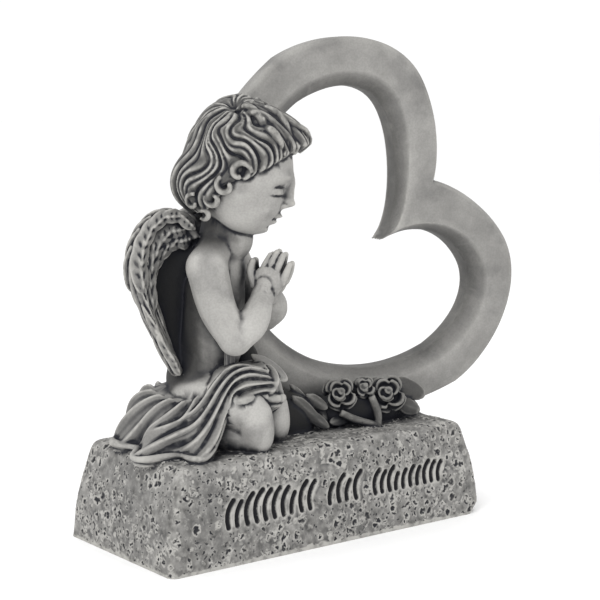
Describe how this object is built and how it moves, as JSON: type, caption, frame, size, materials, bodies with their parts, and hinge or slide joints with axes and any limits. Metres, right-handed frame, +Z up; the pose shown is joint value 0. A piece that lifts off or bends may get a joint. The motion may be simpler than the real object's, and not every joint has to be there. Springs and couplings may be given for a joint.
{
  "type": "cherub and heart grave ornament",
  "caption": "Kneeling cherub at prayer beside an open heart with roses at its foot, cast in one piece with a rough tapered plinth.",
  "frame": {"origin": "centre of the plinth's underside", "axes": "+Z up out of the plinth's top, +X along the plinth towards the heart's open end, and the lettered long face of the plinth towards -Y"},
  "size_m": [0.1905, 0.073, 0.1944],
  "materials": {
    "cast_resin": "matte grey with dark wash in the hollows"
  },
  "bodies": {
    "root": {"cherub_and_heart": "cast_resin"}
  },
  "joints": []
}
